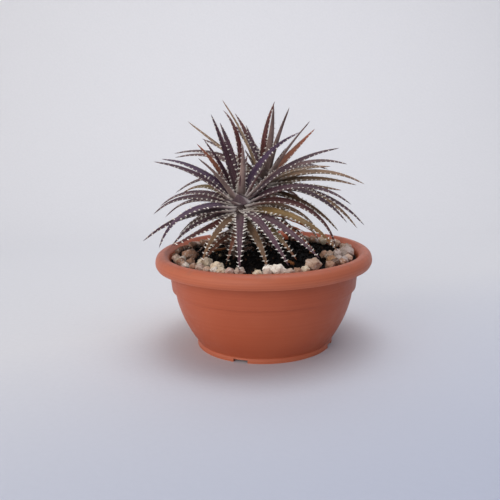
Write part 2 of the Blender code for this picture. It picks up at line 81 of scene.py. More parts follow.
NOTCH_HEADINGS = (-111, -21, 69, 159)
DRAIN_RADIUS = 0.0045
DRAIN_CIRCLE = 0.040
DRAIN_SIDES = 32
DRAIN_HEADINGS = (90, 162, 234, 306, 18)


def linear(colour):
    """The linear values that a shader takes, from an sRGB hex colour."""
    shares = [int(colour[place:place + 2], 16) / 255 for place in (1, 3, 5)]
    values = [share / 12.92 if share <= 0.04045 else ((share + 0.055) / 1.055) ** 2.4 for share in shares]
    return (*values, 1.0)


def adjust(owner, settings):
    """Gives the owner its settings."""
    for setting, value in settings.items():
        setattr(owner, setting, value)
    return owner


def add_node(tree, kind, inputs, **settings):
    """A shader node with its settings, its values and the sockets that feed it."""
    node = adjust(tree.nodes.new("ShaderNode" + kind), settings)
    for socket, value in inputs.items():
        if isinstance(value, bpy.types.NodeSocket):
            tree.links.new(value, node.inputs[socket])
        else:
            node.inputs[socket].default_value = value
    return node


def fineness(millimetres):
    """Scale of a pattern whose features repeat at a real size."""
    return 1000.0 / millimetres


def noise(tree, place, millimetres, detail, **inputs):
    """A noise whose features repeat at a real size."""
    inputs = {"Vector": place, "Scale": fineness(millimetres), "Detail": detail, **inputs}
    return add_node(tree, "TexNoise", inputs).outputs[0]


def spread(tree, value, low, high, to_low=0.0, to_high=1.0):
    """A value between two bounds, spread over another range and held inside it."""
    inputs = {"Value": value, "From Min": low, "From Max": high, "To Min": to_low, "To Max": to_high}
    return add_node(tree, "MapRange", inputs).outputs[0]


def combine(tree, operation, first, second):
    """One value from two."""
    return add_node(tree, "Math", {0: first, 1: second}, operation=operation).outputs[0]


def blend(tree, share, first, second):
    """A mix of two colours, each a socket or an sRGB hex colour."""
    first, second = [linear(colour) if isinstance(colour, str) else colour for colour in (first, second)]
    return add_node(tree, "Mix", {0: share, 6: first, 7: second}, data_type="RGBA").outputs[2]


def bumped(tree, height, strength, distance):
    """A surface's direction where a pattern raises it."""
    return add_node(tree, "Bump", {"Height": height, "Strength": strength, "Distance": distance}).outputs[0]


def new_material(name, **values):
    """A material with values on its shader's own sockets, spelt with _ for a space."""
    made = bpy.data.materials.new(name)
    made.use_nodes = True
    shader = made.node_tree.nodes["Principled BSDF"]
    for socket, value in values.items():
        shader.inputs[socket.replace("_", " ")].default_value = value
    return made, made.node_tree, shader


def smooth_run(points):
    """A curve through the points of one run."""
    points = [np.array(point) for point in points]
    if len(points) == 2:
        return points
    ends = [2 * points[0] - points[1], *points, 2 * points[-1] - points[-2]]
    curve = []
    for a, b, c, d in zip(ends, ends[1:], ends[2:], ends[3:]):
        square = 2 * a - 5 * b + 4 * c - d
        cube = 3 * b - a - 3 * c + d
        for step in range(CURVE_STEPS):
            t = step / CURVE_STEPS
            curve.append(0.5 * (2 * b + (c - a) * t + square * t**2 + cube * t**3))
    return curve + [points[-1]]


def extrude_ring(scale, height):
    """Extrudes the selected ring to a level and scales it about the bowl's axis."""
    bpy.ops.mesh.extrude_region_move()
    bpy.ops.transform.resize(value=(scale, scale, 0.0), center_override=(BOWL_X, BOWL_Y, height))


def apply_modifier(owner, kind, **settings):
    """Adds a modifier to an object and applies it."""
    modifier = adjust(owner.modifiers.new(kind.lower(), kind), settings)
    bpy.context.view_layer.objects.active = owner
    bpy.ops.object.modifier_apply(modifier=modifier.name)


def finish_piece(piece, name, material, nodes):
    """Names a piece, puts its place in its mesh, gives it its material, ties it to the root and hides the
    parts it replaces.
    """
    bpy.ops.object.select_all(action="DESELECT")
    piece.select_set(True)
    bpy.context.view_layer.objects.active = piece
    bpy.ops.object.transform_apply(location=True, rotation=True, scale=True)
    piece.name = name
    piece.data.name = name
    if material:
        piece.data.materials.clear()
        piece.data.materials.append(material)
    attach(piece, "root")
    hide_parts(*nodes)


bpy.ops.object.select_all(action="DESELECT")
bowl_profile = [point for run in BOWL_RUNS for point in smooth_run(run)]
radius, height = bowl_profile[0]
bpy.ops.mesh.primitive_circle_add(vertices=BOWL_SEGMENTS, radius=radius, location=(BOWL_X, BOWL_Y, height))
bowl = bpy.context.object
bpy.ops.object.mode_set(mode="EDIT")
bpy.ops.mesh.edge_face_add()
bpy.ops.mesh.select_mode(type="EDGE")
for next_radius, next_height in bowl_profile[1:]:
    extrude_ring(next_radius / radius, next_height)
    radius = next_radius
bpy.ops.mesh.edge_face_add()
bpy.ops.mesh.select_all(action="SELECT")
bpy.ops.mesh.normals_make_consistent(inside=False)
bpy.ops.object.mode_set(mode="OBJECT")

cutters = []
for heading in NOTCH_HEADINGS:
    turn = math.radians(heading)
    place = (BOWL_X + NOTCH_MIDDLE * math.cos(turn), BOWL_Y + NOTCH_MIDDLE * math.sin(turn), 0.0)
    bpy.ops.mesh.primitive_cube_add(size=1.0, location=place, rotation=(0.0, 0.0, turn), scale=NOTCH_SIZE)
    cutters.append(bpy.context.object)
for heading in DRAIN_HEADINGS:
    turn = math.radians(heading)
    place = (BOWL_X + DRAIN_CIRCLE * math.cos(turn), BOWL_Y + DRAIN_CIRCLE * math.sin(turn), FLOOR_TOP)
    bpy.ops.mesh.primitive_cylinder_add(
        vertices=DRAIN_SIDES, radius=DRAIN_RADIUS, depth=4 * FLOOR_TOP, location=place
    )
    cutters.append(bpy.context.object)
for cutter in cutters:
    apply_modifier(bowl, "BOOLEAN", operation="DIFFERENCE", object=cutter, solver="EXACT")
    bpy.data.objects.remove(cutter)
apply_modifier(
    bowl, "BEVEL", width=CORNER_ROUNDING, segments=3,
    limit_method="ANGLE", angle_limit=math.radians(CORNER_ANGLE),
)
bpy.ops.object.select_all(action="DESELECT")
bowl.select_set(True)
bpy.ops.object.shade_smooth_by_angle(angle=math.radians(SMOOTH_ANGLE))

# Polypropylene, moulded: even, saturated orange-brown, satin gloss. Its turning lines are painted as lighter
# streaks, most on the rim: painted highlight. The lip's outer face and the foot ring are painted paler as
# highlight, and dust of the soil lies along the rim's top, painted dark enough to be painted shade there too.
plastic, tree, shader = new_material("moulded polypropylene", IOR=1.49, Specular_IOR_Level=0.36)
place = add_node(tree, "TexCoord", {}).outputs["Object"]
centred = add_node(tree, "Mapping", {"Vector": place, "Location": (-BOWL_X, -BOWL_Y, 0.0)}).outputs[0]
split = add_node(tree, "SeparateXYZ", {"Vector": centred})
level = split.outputs["Z"]
flat = add_node(tree, "CombineXYZ", {"X": split.outputs["X"], "Y": split.outputs["Y"]}).outputs[0]
from_axis = add_node(tree, "VectorMath", {0: flat}, operation="LENGTH").outputs["Value"]
round_axis = add_node(tree, "CombineXYZ", {"X": from_axis, "Y": level}).outputs[0]
turning = noise(tree, round_axis, 1.4, 3.0)
clouding = noise(tree, place, 45.0, 2.0)
scuffs = noise(tree, place, 7.0, 6.0)
grain = noise(tree, place, 0.5, 2.0)
# Turning lines painted lighter, most on the rim, so the rim is lighter overall: painted highlight streaks.
highlit_rim = spread(tree, level, 0.0815, 0.0835, to_low=0.3)
sharp_turning = spread(tree, turning, 0.38, 0.62)
rim_highlight_streaks = combine(tree, "MULTIPLY", sharp_turning, highlit_rim)
uneven = spread(tree, combine(tree, "ADD", rim_highlight_streaks, clouding), 0.0, 2.0)
body = blend(tree, uneven, "#ad5030", "#c06644")
# The foot ring and the lip's outer face painted paler: painted highlight where they catch the light.
foot_highlight = spread(tree, level, 0.0070, 0.0030, to_high=0.40)
lip_highlight = spread(tree, from_axis, 0.1060, 0.1090, to_high=0.26)
with_painted_highlights = blend(tree, combine(tree, "MAXIMUM", foot_highlight, lip_highlight), body, "#cf7d5c")
# Patchy dust on the rim's top, grey-brown and dark: dust, and painted shade on the rim's top as well.
near_rim = spread(tree, level, 0.0915, 0.0966, to_high=0.60)
dust_spots = spread(tree, scuffs, 0.50, 0.68, to_low=0.35)
dust_and_shade = blend(tree, combine(tree, "MULTIPLY", near_rim, dust_spots), with_painted_highlights, "#8f6350")
gloss = spread(tree, scuffs, 0.3, 0.7, 0.40, 0.52)
bump = bumped(tree, combine(tree, "ADD", turning, grain), 0.30, 0.0002)
tree.links.new(dust_and_shade, shader.inputs["Base Color"])
tree.links.new(gloss, shader.inputs["Roughness"])
tree.links.new(bump, shader.inputs["Normal"])
finish_piece(bowl, "bowl_moulding", plastic, ["bowl"])


# The soil: peaty potting soil, settled to a low mound that falls a little to the back. It fills the bowl.
# Nearly black where it is damp, with loose crumbs, bits of brown fibre and a few pale grains on top.
SOIL_EDGE = 0.0888
SOIL_MOUND = 0.0050
MOUND_RADIUS = 0.060
SOIL_FALL = 0.016
SOIL_RADIUS = 0.0940
SOIL_SEGMENTS = 220
SOIL_RINGS = 62
# The soil's side as radius and height, just inside the wall of the bowl.
SOIL_WALL = (
    (0.0937, 0.0818), (0.0915, 0.0618), (0.0886, 0.0593), (0.0865, 0.0474), (0.0820, 0.0335),
    (0.0767, 0.0219), (0.0714, 0.0127), (0.0676, 0.0072),
)
SOIL_COLOUR = "#0e0b0a"
LUMP_SIZE = 0.009
LUMP_HEIGHT = 0.0030
CRUMBS = 1500
CRUMB_REACH = 0.088
CRUMB_SIZES = (0.0004, 0.0016)
CRUMB_STRETCHES = (0.5, 1.5)
CRUMB_FACETS = (0.8, 1.2)
CRUMB_TURN = 3.1
CRUMB_TILT = 0.6
CRUMB_LIFT = 0.0004
# The crumbs' colours and how often each comes.
CRUMB_COLOURS = {
    "#0f0c0b": 0.35, "#16110e": 0.29, "#1d1511": 0.16, "#0b0908": 0.15, "#4d3425": 0.04, "#8d7b64": 0.01,
}
# What a value at the points of a mesh is kept as, and the field that holds it.
POINT_VALUES = {"tint": ("FLOAT_COLOR", "color"), "grain": ("FLOAT_VECTOR", "vector")}


def soil_top(x, y):
    """Height of the soil's surface, measured from the bowl's axis."""
    mound = np.maximum(0.0, 1.0 - (x * x + y * y) / MOUND_RADIUS**2)
    return SOIL_EDGE + SOIL_MOUND * mound - SOIL_FALL * y


def points_of(piece):
    """The points of a piece's mesh as rows of X, Y and Z."""
    points = np.empty(len(piece.data.vertices) * 3)
    piece.data.vertices.foreach_get("co", points)
    return points.reshape(-1, 3)


def take_pattern(pattern):
    """A finished pattern's points and faces, after which the pattern itself is removed."""
    points = points_of(pattern)
    faces = np.array([tuple(face.vertices) for face in pattern.data.polygons], dtype=object)
    bpy.data.objects.remove(pattern)
    return points, faces


def carry(mesh, name, values):
    """Stores a value at each point of a mesh, where a material reads it: a tint or a place in the grain."""
    kind, field = POINT_VALUES[name]
    mesh.attributes.new(name, kind, "POINT").data.foreach_set(field, np.ravel(values))


def gather(name, copies):
    """One piece from many copies: each its points, faces, material's number, and tint and grain by point."""
    points, faces, numbers, tints, grains = [], [], [], [], []
    first = 0
    for made, around, number, tint, grain_place in copies:
        points.append(made)
        faces.extend([tuple(corner + first for corner in face) for face in around])
        numbers.extend([number] * len(around))
        tints.append(np.broadcast_to(tint, (len(made), 4)))
        grains.append(np.broadcast_to(grain_place, (len(made), 3)))
        first += len(made)
    mesh = bpy.data.meshes.new(name)
    mesh.from_pydata((np.concatenate(points) + (BOWL_X, BOWL_Y, 0.0)).tolist(), [], faces)
    carry(mesh, "tint", np.concatenate(tints))
    carry(mesh, "grain", np.concatenate(grains))
    mesh.polygons.foreach_set("material_index", numbers)
    mesh.polygons.foreach_set("use_smooth", [True] * len(faces))
    piece = bpy.data.objects.new(name, mesh)
    bpy.context.scene.collection.objects.link(piece)
    return piece


def join(pieces):
    """Joins pieces into the first."""
    bpy.ops.object.select_all(action="DESELECT")
    for piece in pieces:
        piece.select_set(True)
    bpy.context.view_layer.objects.active = pieces[0]
    bpy.ops.object.join()
    return pieces[0]


def new_texture(name, kind, size, **settings):
    """A texture that moves points, with features of about one size."""
    return adjust(bpy.data.textures.new(name, kind), {"noise_scale": size, **settings})


def displace(piece, texture, strength, middle, **settings):
    """Moves a piece's points by a texture that is fixed in space."""
    settings = {"texture": texture, "strength": strength, "mid_level": middle, **settings}
    apply_modifier(piece, "DISPLACE", texture_coords="GLOBAL", **settings)


bpy.ops.object.select_all(action="DESELECT")
bpy.ops.mesh.primitive_circle_add(
    vertices=SOIL_SEGMENTS, radius=SOIL_RADIUS, location=(BOWL_X, BOWL_Y, SOIL_EDGE)
)
soil = bpy.context.object
bpy.ops.object.transform_apply(location=True)
bpy.ops.object.mode_set(mode="EDIT")
bpy.ops.mesh.select_mode(type="EDGE")
for ring in range(SOIL_RINGS, 1, -1):
    extrude_ring((ring - 1) / ring, SOIL_EDGE)
bpy.ops.mesh.extrude_region_move()
bpy.ops.mesh.merge(type="CENTER")
bpy.ops.object.mode_set(mode="OBJECT")
surface = points_of(soil)
surface[:, 2] = soil_top(surface[:, 0] - BOWL_X, surface[:, 1] - BOWL_Y)
soil.data.vertices.foreach_set("co", surface.ravel())
lumps = new_texture("soil lumps", "CLOUDS", LUMP_SIZE, noise_depth=4)
displace(soil, lumps, LUMP_HEIGHT, 0.55, direction="Z")
bpy.ops.object.mode_set(mode="EDIT")
bpy.ops.mesh.select_all(action="DESELECT")
bpy.ops.mesh.select_non_manifold()
radius = SOIL_RADIUS
for next_radius, next_height in SOIL_WALL:
    extrude_ring(next_radius / radius, next_height)
    radius = next_radius
bpy.ops.mesh.edge_face_add()
bpy.ops.mesh.select_all(action="SELECT")
bpy.ops.mesh.normals_make_consistent(inside=False)
bpy.ops.object.mode_set(mode="OBJECT")
bpy.ops.object.shade_smooth()
carry(soil.data, "tint", linear(SOIL_COLOUR) * len(soil.data.vertices))
soil.data.attributes.new("grain", "FLOAT_VECTOR", "POINT")

bpy.ops.mesh.primitive_ico_sphere_add(subdivisions=1, radius=1.0)
crumb_points, crumb_faces = take_pattern(bpy.context.object)
rng = np.random.default_rng(11)
crumb_tints = [linear(colour) for colour in CRUMB_COLOURS]
crumb_shares = list(CRUMB_COLOURS.values())
crumbs = []
for crumb in range(CRUMBS):
    distance = CRUMB_REACH * math.sqrt(rng.uniform())
    turn = rng.uniform(0.0, 2 * math.pi)
    x, y = distance * math.cos(turn), distance * math.sin(turn)
    sizes = rng.uniform(*CRUMB_SIZES) * rng.uniform(*CRUMB_STRETCHES, 3)
    spin = Matrix.Rotation(rng.uniform(0.0, CRUMB_TURN), 3, "Z")
    tilt = Matrix.Rotation(rng.uniform(-CRUMB_TILT, CRUMB_TILT), 3, "X")
    rough = crumb_points * rng.uniform(*CRUMB_FACETS, (len(crumb_points), 1)) * sizes
    tint = crumb_tints[rng.choice(len(crumb_tints), p=crumb_shares)]
    lift = soil_top(x, y) + 0.3 * sizes[2] + CRUMB_LIFT
    laid = rough @ np.array(spin @ tilt).T + (x, y, lift)
    crumbs.append((laid, crumb_faces, 0, tint, (0.0, 0.0, 0.0)))
soil = join([soil, gather("crumbs", crumbs)])

# Peat, crumbled: matt and nearly black, lighter and browner where the top has dried.
peat, tree, shader = new_material("potting soil", Roughness=0.95, Specular_IOR_Level=0.12)
place = add_node(tree, "TexCoord", {}).outputs["Object"]
own_tint = add_node(tree, "Attribute", {}, attribute_name="tint").outputs["Color"]
patches = noise(tree, place, 9.0, 5.0)
dry = spread(tree, patches, 0.45, 0.75, to_high=0.12)
earthy = blend(tree, dry, own_tint, "#3d2e24")
bump = bumped(tree, noise(tree, place, 0.8, 5.0), 0.9, 0.0006)
tree.links.new(earthy, shader.inputs["Base Color"])
tree.links.new(bump, shader.inputs["Normal"])
finish_piece(soil, "potting_soil", peat, ["soil"])


# The pebbles: washed, weathered limestone and sandstone gravel of 10 to 20 mm, laid round the edge.
# Each has broken faces with worn corners and a pitted, chalky skin, from cream to tan and brown.
PEBBLE_REACH = 0.0940
PEBBLE_OVERLAP = 0.74
PEBBLE_SIDES = 12
PEBBLE_TALLEST = 0.0145
PEBBLE_HEIGHT = 0.82
PEBBLE_WIDTHS = (0.82, 0.95)
PEBBLE_MEAN_WIDTH = 0.89
PEBBLE_SPREADS = (0.92, 1.10)
PEBBLE_STRAY = 0.0008
PEBBLE_TURN = 137.5
PEBBLE_TWIST = 11.5
PEBBLE_SINK = 0.0006
PEBBLE_VOXEL = 0.00055
HOLLOW_SIZE = 0.0080
HOLLOW_DEPTH = 0.0013
PIT_SIZE = 0.0016
PIT_DEPTH = 0.0008
STONE_SHADES = (0.86, 1.10)
STONE_COLOURS = {
    "white": "#ebe0cf", "cream": "#d8c5a8", "pale": "#c6ae9c", "grey": "#bfada2", "pink": "#c4a393",
    "tan": "#a67f66", "ochre": "#ab7f58", "brown": "#664a39", "sand": "#c0a189",
}
# One row an arc: first heading, its pebbles as length in mm and colour, then the further ones inside the
# arc, as heading, distance from the axis in mm, length and colour.
PEBBLE_ARCS = {
    "pebbles_left": (
        -177.0,
        (
            (10, "brown"), (10, "sand"), (11.5, "pale"), (10, "cream"), (12, "tan"), (10, "sand"),
            (10, "white"),
        ),
        ((-166.0, 83.0, 11, "white"), (-169.0, 75.0, 20, "tan"), (-151.5, 81.5, 12.5, "tan")),
    ),
    "pebbles_front_left": (
        -138.5,
        ((12, "tan"), (12.5, "pale"), (11, "sand"), (11, "white"), (11, "cream"), (12, "pink"), (13, "pale")),
        ((-136.0, 78.5, 18, "cream"), (-123.0, 81.5, 15.5, "cream")),
    ),
    "pebbles_front": (
        -94.4,
        (
            (10.5, "cream"), (11.5, "pale"), (16, "white"), (11, "pale"), (10.5, "tan"), (11.5, "cream"),
            (19, "sand"),
        ),
        ((-88.0, 81.5, 13.5, "white"),),
    ),
    "pebbles_front_right": (
        -47.0,
        ((12, "tan"), (13, "brown"), (11, "tan"), (12, "grey"), (12, "sand")),
        ((-38.0, 81.0, 14.5, "ochre"), (-27.5, 81.5, 11.5, "grey")),
    ),
    "pebbles_right": (
        -13.0,
        ((19, "grey"), (12, "sand"), (11, "brown"), (14, "pale"), (11, "tan"), (10, "sand")),
        (
            (-15.3, 75.7, 14, "grey"), (-19.5, 69.0, 13, "sand"), (-15.7, 62.8, 12, "tan"),
            (1.0, 82.0, 11.5, "pale"),
        ),
    ),
    "pebbles_back_right": (
        26.0,
        (
            (13, "sand"), (12, "tan"), (14, "cream"), (11, "grey"), (12, "tan"), (11, "pale"), (13, "sand"),
            (11, "brown"),
        ),
        (),
    ),
    "pebbles_back": (
        77.0,
        (
            (12, "cream"), (14, "tan"), (11, "pale"), (13, "grey"), (11, "sand"), (12, "brown"),
            (11, "cream"), (11, "tan"),
        ),
        (),
    ),
    # The brown stones toward this arc's left end are darker as painted shade under the leaves.
    "pebbles_back_left": (
        127.0,
        (
            (13, "tan"), (11, "sand"), (12, "tan"), (11, "pale"), (13, "brown"), (11, "tan"), (12, "brown"),
            (12, "brown"), (11, "brown"),
        ),
        (),
    ),
}

rng_pebbles = random.Random(7)
rng_shade = random.Random(21)
hollows = new_texture("stone hollows", "CLOUDS", HOLLOW_SIZE, noise_type="HARD_NOISE", noise_depth=2)
pits = new_texture("stone pits", "VORONOI", PIT_SIZE, distance_metric="DISTANCE")


def add_pebble(heading, distance, length, colour):
    """One pebble: the hull of a few points on a flattened ball, with worn corners and a pitted skin."""
    height = min(PEBBLE_HEIGHT * length, PEBBLE_TALLEST)
    width = length * rng_pebbles.uniform(*PEBBLE_WIDTHS)
    turn = math.radians(heading)
    cos, sin = math.cos(turn), math.sin(turn)
    corners = []
    for point in range(PEBBLE_SIDES):
        level = 1.0 - 2.0 * (point + 0.5) / PEBBLE_SIDES
        around = math.radians(point * PEBBLE_TURN + rng_pebbles.uniform(-PEBBLE_TWIST, PEBBLE_TWIST))
        reach = math.sqrt(1.0 - level * level) * rng_pebbles.uniform(*PEBBLE_SPREADS)
        along = length / 2 * reach * math.cos(around)
        across = width / 2 * reach * math.sin(around)
        corners += [-along * sin - across * cos, along * cos - across * sin, height / 2 * (1.0 + level)]
    bpy.ops.object.select_all(action="DESELECT")
    bpy.ops.mesh.primitive_circle_add(vertices=PEBBLE_SIDES)
    pebble = bpy.context.object
    pebble.data.vertices.foreach_set("co", corners)
    seat = soil_top(distance * cos, distance * sin) - PEBBLE_SINK
    pebble.location = (BOWL_X + distance * cos, BOWL_Y + distance * sin, seat)
    bpy.ops.object.mode_set(mode="EDIT")
    bpy.ops.mesh.select_all(action="SELECT")
    bpy.ops.mesh.convex_hull()
    bpy.ops.object.mode_set(mode="OBJECT")
    apply_modifier(pebble, "REMESH", mode="VOXEL", voxel_size=PEBBLE_VOXEL)
    apply_modifier(pebble, "SMOOTH", factor=0.5, iterations=1)
    displace(pebble, hollows, HOLLOW_DEPTH, 0.45)
    displace(pebble, pits, PIT_DEPTH, 0.5)
    shade = rng_shade.uniform(*STONE_SHADES)
    tint = [min(1.0, share * shade) for share in linear(STONE_COLOURS[colour])[:3]] + [1.0]
    carry(pebble.data, "tint", tint * len(pebble.data.vertices))
    return pebble


# Limestone, weathered: chalky and rough, mottled, with ochre in its hollows and grey dust.
limestone, tree, shader = new_material("weathered limestone", Roughness=0.86, Specular_IOR_Level=0.35)
place = add_node(tree, "TexCoord", {}).outputs["Object"]
own_tint = add_node(tree, "Attribute", {}, attribute_name="tint").outputs["Color"]
mottles = noise(tree, place, 5.0, 6.0, Roughness=0.6)
ochre_share = spread(tree, mottles, 0.46, 0.68, to_high=0.55)
stained = blend(tree, ochre_share, own_tint, "#8c6650")
chalk_share = spread(tree, noise(tree, place, 3.1, 4.0), 0.54, 0.68, to_high=0.5)
chalky = blend(tree, chalk_share, stained, "#ddd3c8")
pores = add_node(tree, "TexVoronoi", {"Vector": place, "Scale": fineness(1.3)}).outputs["Distance"]
pore_depth = spread(tree, pores, 0.05, 0.38)
# The pits are darkened in colour as well as sunk: painted shade in them.
painted_pit_shade = spread(tree, pore_depth, 0.0, 1.0, to_low=0.72)
porous = add_node(tree, "VectorMath", {0: chalky, "Scale": painted_pit_shade}, operation="SCALE").outputs[0]
grit = noise(tree, place, 0.6, 4.0)
bump = bumped(tree, combine(tree, "ADD", pore_depth, grit), 0.6, 0.0004)
tree.links.new(porous, shader.inputs["Base Color"])
tree.links.new(bump, shader.inputs["Normal"])

# Each pebble of an arc stands at the bowl's wall, so far round from the last that the two touch.
for name, (heading, outer, inner) in PEBBLE_ARCS.items():
    pebbles = []
    nearer = 0.0
    before = 0
    for length, colour in outer:
        further = PEBBLE_REACH - PEBBLE_MEAN_WIDTH * length / 2000
        if pebbles:
            apart = math.sqrt((PEBBLE_OVERLAP * (before + length) / 2000) ** 2 - (further - nearer) ** 2)
            heading += math.degrees(apart * 2 / (nearer + further))
        distance = further + rng_pebbles.uniform(-PEBBLE_STRAY, PEBBLE_STRAY)
        pebbles.append(add_pebble(heading, distance, length / 1000, colour))
        nearer, before = further, length
    for heading, distance, length, colour in inner:
        pebbles.append(add_pebble(heading, distance / 1000, length / 1000, colour))
    arc = join(pebbles)
    bpy.ops.object.shade_smooth()
    finish_piece(arc, name + "_stones", limestone, [name])


# The bark chips: three flakes of pine bark that lie on the soil, split along the grain.
# Orange-brown and fibrous, with ragged ends.
# One row a chip: heading and distance from the axis, turn, length, width.
CHIPS = (
    (146.0, 0.056, 20.0, 0.013, 0.005),
    (-60.0, 0.050, -50.0, 0.010, 0.004),
    (8.0, 0.052, 75.0, 0.012, 0.005),
)
CHIP_THICKNESS = 0.0020
CHIP_CUTS = 14
CHIP_TAPER = 0.55
CHIP_RAGGED = 0.10
CHIP_TEETH = 19.0
CHIP_LIFT = 0.0004
SPLINTER_SIZE = 0.0022
SPLINTER_HEIGHT = 0.0009

# Pine bark, split: orange-brown with dark streaks along the fibre, matt.
bark, tree, shader = new_material("pine bark", Roughness=0.88, Specular_IOR_Level=0.3)
grain_place = add_node(tree, "Attribute", {}, attribute_name="grain").outputs["Vector"]
fibres_place = add_node(tree, "Mapping", {"Vector": grain_place, "Scale": (0.18, 1.0, 1.0)}).outputs[0]
fibres = noise(tree, fibres_place, 0.9, 4.0)
fibrous = blend(tree, spread(tree, fibres, 0.35, 0.65), "#5a3420", "#b0703f")
tree.links.new(fibrous, shader.inputs["Base Color"])
tree.links.new(bumped(tree, fibres, 0.8, 0.0004), shader.inputs["Normal"])

splinters = new_texture("bark splinters", "CLOUDS", SPLINTER_SIZE)
for number, (heading, distance, turn, length, width) in enumerate(CHIPS, 1):
    bpy.ops.object.select_all(action="DESELECT")
    bpy.ops.mesh.primitive_cube_add(size=1.0)
    chip = bpy.context.object
    bpy.ops.object.mode_set(mode="EDIT")
    bpy.ops.mesh.subdivide(number_cuts=CHIP_CUTS)
    bpy.ops.object.mode_set(mode="OBJECT")
    shape = points_of(chip)
    ragged = 1.0 + CHIP_RAGGED * np.sin(shape[:, 1] * CHIP_TEETH + number)
    taper = np.where(shape[:, 0] > 0, 1.0 - (1.0 - CHIP_TAPER) * 2 * shape[:, 0], 1.0)
    sizes = np.stack([length * ragged, width * taper, np.full_like(taper, CHIP_THICKNESS)], 1)
    flake = shape * sizes
    carry(chip.data, "grain", flake)
    spin = np.array(Matrix.Rotation(math.radians(turn), 3, "Z"))
    x, y = distance * math.cos(math.radians(heading)), distance * math.sin(math.radians(heading))
    flake = flake @ spin.T + (x + BOWL_X, y + BOWL_Y, 0.0)
    flake[:, 2] += soil_top(flake[:, 0] - BOWL_X, flake[:, 1] - BOWL_Y) + CHIP_THICKNESS / 2 + CHIP_LIFT
    chip.data.vertices.foreach_set("co", flake.ravel())
    displace(chip, splinters, SPLINTER_HEIGHT, 0.5)
    bpy.ops.object.shade_smooth()
    finish_piece(chip, f"bark_flake_{number}", bark, [f"bark_chip_{number}"])


# The plant: two heads that grew from one root, each a rosette of stiff, channelled leaves on a short stem.
# The leaves are thick and leathery, wine-dark above and grey with scurf below and at the root, and both
# margins carry cream hooked spines. The outer ones are olive to tan, and the oldest hang withered.
UPRIGHT = 80.0
HANGING = -30.0
LEAF_DROP = 0.020
LIVE_REACH = 0.0065
OLD_REACH = 0.0030
LEAF_SWAY = 0.0022
SWAY_BENDS = 1.2
LEAF_ROLL = 22.0
ROLL_START = 0.25
ROOT_WIDTH = 0.78
FULL_WIDTH_AT = 0.15
TAPER_START = 1.6
TAPER_END = 0.85
LEAF_KEEL = 0.24
LEAF_THINNEST = 0.0010
LEAF_THICKEST = 1.25
LEAF_BELLY = 0.62
THIN_BELLY = 0.45
LEAF_CHANNEL = 0.085
OLD_CHANNEL = 2.2
OLD_WAVES = 23.0
OLD_WAVE_HEIGHT = 0.0007
SHEATH_WIDTH = 0.36
SHEATH_LENGTH = 0.011
BLADE_SIDES = 18
BLADE_STATIONS = 46
COURSE_STEPS = 48
SPINE_SIDES = 6
# Steps of a spine from its base to its point: a share of its length, and how far it narrows there.
SPINE_STEPS = ((0.30, 0.70), (0.30, 0.55), (0.40, 1.0))
SPINE_PITCH = 0.0051
SPINE_LENGTH = 0.0040
SPINE_HALF_BASE = 0.0015
SPINE_HALF_THICKNESS = 0.00065
SPINE_ROOTED = 0.25
SPINE_SUNK = 0.0001
SPINES_START = 0.07
SPINES_END = 0.965
SPINE_SCATTER = 0.2
SPINE_SHRINK = 0.5
SPINE_SIZES = (0.85, 1.12)
SPINE_RISES = (-5.0, 35.0)
STEEP_SPINES = 0.78
OLD_SPINES = 0.8
SPINE_RAISES = (-0.05, 0.40)
HOOKED_BACK = 0.8
BACKWARD_HOOKS = (0.15, 0.60)
FORWARD_HOOKS = (0.1, 0.5)
SPINE_TONES = (0.85, 1.1)

# Colours of a leaf: upper face, underside, tip. Grey scurf covers the root, and the margins are pale.
LEAF_COLOURS = {
    "plum": ("#3d1c29", "#745251", "#451f2d"),
    "violet": ("#3b203c", "#705460", "#4f3148"),
    "maroon": ("#4f1f1b", "#744034", "#63281f"),
    "rust": ("#7f4526", "#946044", "#a24c2a"),
    "grey": ("#5b403d", "#8d756c", "#55383a"),
    "beige": ("#8a6c4f", "#a88e71", "#835b41"),
    "olive": ("#65501f", "#887040", "#85371c"),
    "gold": ("#84652f", "#9f7f48", "#90501f"),
    "bronze": ("#6e5030", "#8a6e4a", "#6f4a2c"),
    "mauve": ("#4b2c36", "#7c5c5b", "#4a2630"),
    "withered": ("#6a3c26", "#7a4e33", "#58311f"),
    "straw": ("#cf7338", "#d38446", "#b05a2c"),
}
SCURF = "#85756f"
MARGIN = "#e8ded5"
LEAF_TONES = (0.88, 1.12)
TIP_START = 0.62
TIP_SHARE = 0.7
SCURF_REACH = 0.014
SCURF_SHARE = 0.42
OLD_SCURF_SHARE = 0.30
# How much the middle of a leaf's root is darkened: painted shade where the leaf bases overlap.
PAINTED_ROOT_SHADE = 0.38
EDGE_START = 0.9
EDGE_SOFTNESS = 0.15
EDGE_SHARE = 0.2
ROOT_EDGE_WIDENING = 0.2
ROOT_EDGE_SHARE = 0.70
